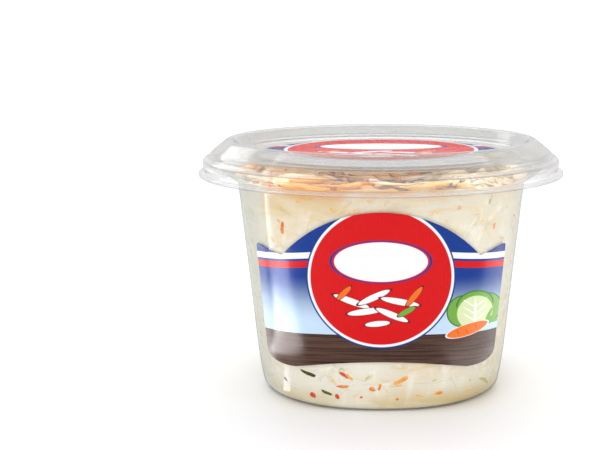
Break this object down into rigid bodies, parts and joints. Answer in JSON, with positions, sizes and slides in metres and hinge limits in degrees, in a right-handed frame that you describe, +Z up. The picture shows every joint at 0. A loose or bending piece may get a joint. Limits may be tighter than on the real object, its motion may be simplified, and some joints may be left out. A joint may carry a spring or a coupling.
{
  "type": "tub of coleslaw",
  "caption": "Clear plastic tub with rounded square sides, a round rim and a press-on lid, filled to the top with coleslaw, with printed labels on front and lid.",
  "frame": {"origin": "centre of the tub's foot, on the surface that it stands on", "axes": "+Z up along the tub's axis; the body label faces -Y; +X to the right of someone facing the label"},
  "size_m": [0.115, 0.115, 0.0784],
  "materials": {
    "tub_plastic": "clear thermoformed plastic, glossy",
    "lid_plastic": "clear thermoformed plastic, glossy, slightly milky",
    "coleslaw": "shredded cabbage, carrot and pepper in a creamy dressing, moist",
    "label_print": "printed film label in red, blue, white and brown, semi-gloss"
  },
  "bodies": {
    "root": {"tub": "tub_plastic", "lid": "lid_plastic", "coleslaw": "coleslaw", "tub_label": "label_print", "lid_label": "label_print"}
  },
  "joints": []
}
